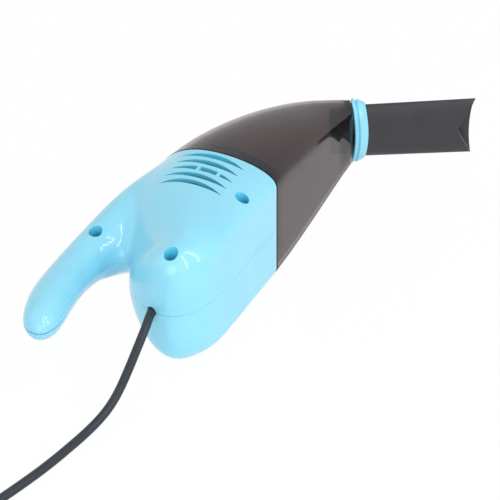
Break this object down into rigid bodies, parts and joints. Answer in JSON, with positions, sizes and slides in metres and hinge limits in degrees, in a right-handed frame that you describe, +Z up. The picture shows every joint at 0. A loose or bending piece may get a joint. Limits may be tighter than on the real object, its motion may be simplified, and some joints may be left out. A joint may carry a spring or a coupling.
{
  "type": "keyboard vacuum cleaner",
  "caption": "Small corded hand vacuum with a looped-back handle, a smoke dust cup that narrows to an angled mouth, and a flat crevice nozzle, lying on its side.",
  "frame": {"origin": "centre line of the flat on the left shell on which the vacuum lies, under the motor axis, 28 mm behind the dust cup joint", "axes": "+X along the motor axis towards the dust cup and nozzle, +Y from the underside towards the back and handle, +Z up, from the left shell to the right shell"},
  "size_m": [0.3373, 0.109, 0.0576],
  "materials": {
    "blue_plastic": "glossy light blue moulding",
    "smoke_plastic": "clear smoke-brown moulding",
    "dark_plastic": "satin dark grey",
    "white_plastic": "satin off-white",
    "rubber": "matte black",
    "steel": "bright steel",
    "filter_cloth": "fine dark non-woven cloth",
    "copper": "copper winding and commutator",
    "magnet": "dark sintered magnet",
    "brass": "bright brass",
    "red_lead": "red wire sleeve",
    "black_lead": "black wire sleeve",
    "cord_plastic": "soft dark grey-blue cord plastic"
  },
  "bodies": {
    "body": {"right_shell": "blue_plastic", "left_shell": "blue_plastic", "body_screws": "steel", "front_bulkhead": "blue_plastic", "cup_seal": "rubber", "motor_mount": "white_plastic", "motor_can": "steel", "motor_magnets": "magnet", "front_bush": "brass", "motor_end_cap": "white_plastic", "rear_bush": "brass", "motor_brushes": "brass", "motor_terminals": "brass", "slide_switch": "dark_plastic", "feed_wire": "red_lead", "motor_wire": "red_lead", "return_wire": "black_lead", "cord_stop": "rubber", "cord_entry": "cord_plastic", "cord_tube": "cord_plastic", "cord_coil": "cord_plastic", "cord_end": "cord_plastic", "coil_tie": "cord_plastic", "plug_grip": "cord_plastic", "plug_shell": "steel", "plug_tongue": "white_plastic", "plug_contacts": "brass"},
    "cup": {"dust_cup": "smoke_plastic", "collar": "blue_plastic"},
    "nozzle_unit": {"nozzle": "dark_plastic", "nozzle_seal": "rubber"},
    "filter": {"filter_frame": "dark_plastic", "filter_cloth": "filter_cloth"},
    "fan": {"impeller": "white_plastic", "motor_shaft": "steel", "armature": "copper", "commutator": "copper"},
    "knob": {"switch_knob": "dark_plastic"}
  },
  "joints": [
    {"name": "cup_pull", "type": "slide", "parent": "body", "child": "cup", "axis": [1, 0, 0], "range_m": [0, 0.03]},
    {"name": "nozzle_pull", "type": "slide", "parent": "cup", "child": "nozzle_unit", "axis": [0.515, -0.8572, 0], "range_m": [0, 0.02]},
    {"name": "filter_pull", "type": "slide", "parent": "body", "child": "filter", "axis": [1, 0, 0], "range_m": [0, 0.015]},
    {"name": "fan_spin", "type": "hinge", "parent": "body", "child": "fan", "pos_m": [0, 0, 0.0286], "axis": [1, 0, 0], "continuous": true},
    {"name": "switch_slide", "type": "slide", "parent": "body", "child": "knob", "axis": [0.9799, -0.1994, 0], "range_m": [0, 0.004]}
  ]
}
